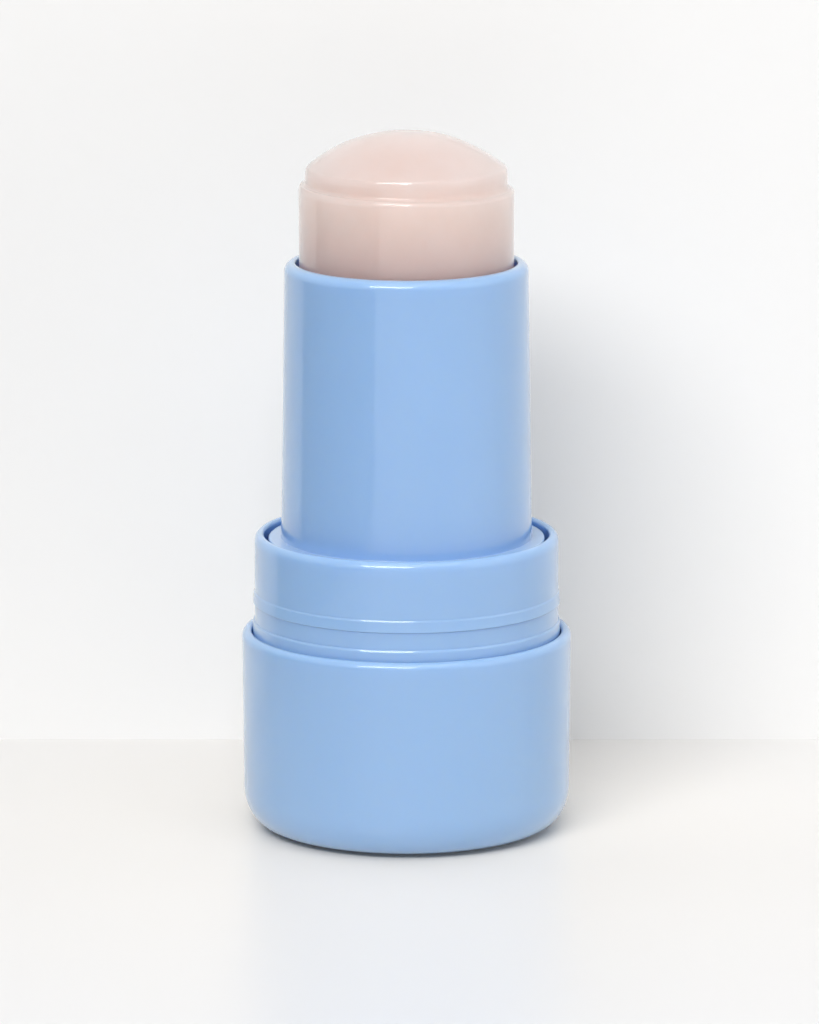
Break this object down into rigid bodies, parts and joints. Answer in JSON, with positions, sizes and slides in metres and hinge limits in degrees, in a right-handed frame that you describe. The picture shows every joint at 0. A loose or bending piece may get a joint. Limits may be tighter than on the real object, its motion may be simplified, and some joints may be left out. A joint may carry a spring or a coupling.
{
  "type": "cooling balm stick",
  "caption": "Round twist-up balm stick with a domed pink balm, a flanged blue barrel, and a wide base with a cap seat.",
  "frame": {"origin": "centre of the underside of the base, on the surface it stands on", "axes": "+Z along the stick's axis, from the base to the dome; the stick is round, so +X and +Y are free"},
  "size_m": [0.04, 0.04, 0.0853],
  "materials": {
    "base_plastic": "smooth gloss",
    "collar_plastic": "smooth gloss",
    "barrel_plastic": "smooth gloss",
    "mechanism_plastic": "natural satin",
    "balm": "waxy, slightly translucent"
  },
  "bodies": {
    "base": {"base_shell": "base_plastic", "collar": "collar_plastic", "spindle": "mechanism_plastic"},
    "barrel": {"barrel": "barrel_plastic"},
    "carriage": {"carrier": "mechanism_plastic", "balm": "balm"}
  },
  "joints": [
    {"name": "barrel_twist", "type": "hinge", "parent": "base", "child": "barrel", "pos_m": [0, 0, 0.03], "axis": [0, 0, 1], "range_deg": [-990, 1500]},
    {"name": "carrier_lift", "type": "slide", "parent": "barrel", "child": "carriage", "axis": [0, 0, 1], "range_m": [-0.0165, 0.025]}
  ],
  "couplings": [
    {"joint": "carrier_lift", "follows": "barrel_twist", "m_per_rad": 0.00095493}
  ]
}
